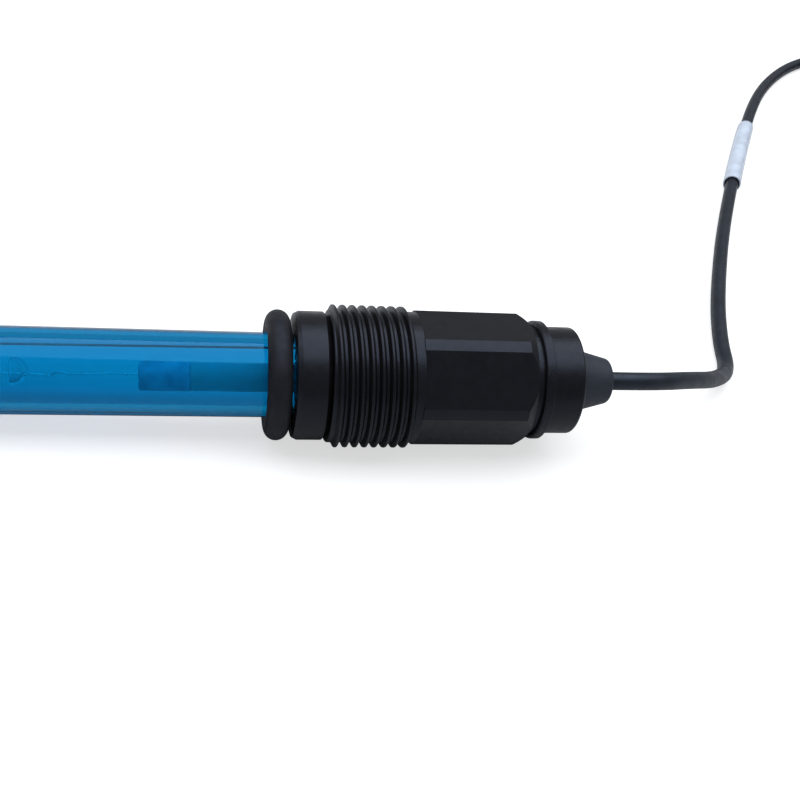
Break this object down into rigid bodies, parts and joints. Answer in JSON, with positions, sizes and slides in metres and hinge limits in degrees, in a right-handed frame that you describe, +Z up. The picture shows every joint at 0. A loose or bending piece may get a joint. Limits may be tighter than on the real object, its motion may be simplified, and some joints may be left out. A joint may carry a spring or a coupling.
{
  "type": "ph electrode",
  "caption": "Plastic-bodied pH electrode: clear blue shaft with glass sensor, threaded black head, thin cable with a coiled length and bayonet plug.",
  "frame": {"origin": "on the table, under the middle of the electrode without its cable", "axes": "+X along the electrode from its glass tip towards the cable, +Z up"},
  "size_m": [0.3361, 0.1863, 0.0207],
  "materials": {
    "blue_plastic": "clear, tinted",
    "seal_rubber": "satin",
    "ceramic": "porous",
    "glass": "clear",
    "silver": "drawn wire",
    "plug_plastic": "matte",
    "sleeve_plastic": "translucent",
    "dark_wire": "coated",
    "ring_rubber": "matte",
    "black_plastic": "satin moulded",
    "boot_rubber": "satin",
    "cable_jacket": "satin",
    "marker_film": "clear film over paper",
    "tie_plastic": "matte",
    "nickel": "plated",
    "white_insulator": "waxy",
    "gold_contact": "plated"
  },
  "bodies": {
    "electrode": {"body_tube": "blue_plastic", "stem_seal": "seal_rubber", "junction_frit": "ceramic", "ph_glass": "glass", "inner_capillary": "glass", "sensor_wire": "silver", "crimp_plug": "plug_plastic", "core_sleeve": "sleeve_plastic", "core_wire": "silver", "reference_wire": "dark_wire", "top_seal": "seal_rubber", "o_ring": "ring_rubber", "thrust_collar": "black_plastic", "screw_head": "black_plastic", "end_cap": "black_plastic", "cable_boot": "boot_rubber", "cable_entry": "cable_jacket", "cable_lead": "cable_jacket", "label_sleeve": "marker_film", "cable_coil": "cable_jacket", "coil_tie": "tie_plastic", "cable_tail": "cable_jacket", "plug_boot": "boot_rubber", "crimp_ferrule": "nickel", "plug_core": "cable_jacket", "plug_shell": "nickel", "plug_insulator": "white_insulator", "centre_pin": "gold_contact", "spring_washer": "nickel", "plug_gasket": "seal_rubber"},
    "coupling": {"coupling_sleeve": "nickel"}
  },
  "joints": [
    {"name": "coupling_turn", "type": "hinge", "parent": "electrode", "child": "coupling", "pos_m": [0.24506, 0.10925, 0.0073], "axis": [0, -1, 0], "continuous": true}
  ]
}
